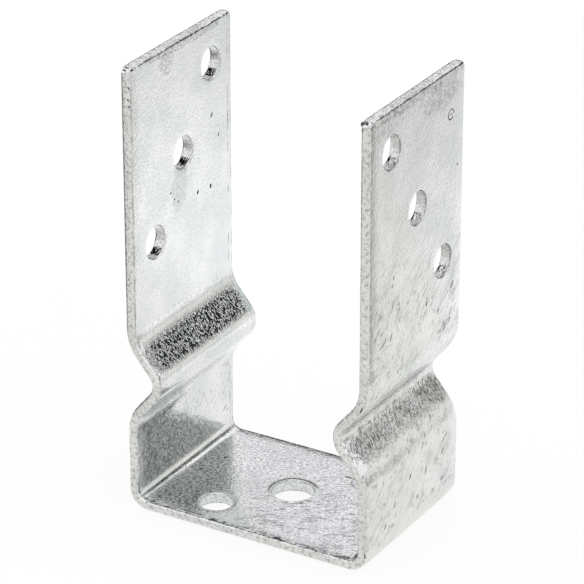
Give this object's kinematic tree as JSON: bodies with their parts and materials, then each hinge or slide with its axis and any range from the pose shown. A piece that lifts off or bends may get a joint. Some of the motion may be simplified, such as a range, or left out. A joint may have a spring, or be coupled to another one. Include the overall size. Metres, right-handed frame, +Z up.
{
  "type": "u bracket",
  "caption": "Galvanised steel U bracket bent from one flat bar, with inward support ridges and slanted rows of bolt holes, that holds a square wooden post off a concrete or timber base.",
  "frame": {"origin": "middle of the bracket's underside, where it stands on the ground", "axes": "+X from one arm to the other, +Y along the width of the bar, +Z up along the arms"},
  "size_m": [0.089, 0.06, 0.154],
  "materials": {
    "galvanised_steel": "hot-dip galvanised, matt light grey"
  },
  "bodies": {
    "root": {"u_bracket": "galvanised_steel"}
  },
  "joints": []
}
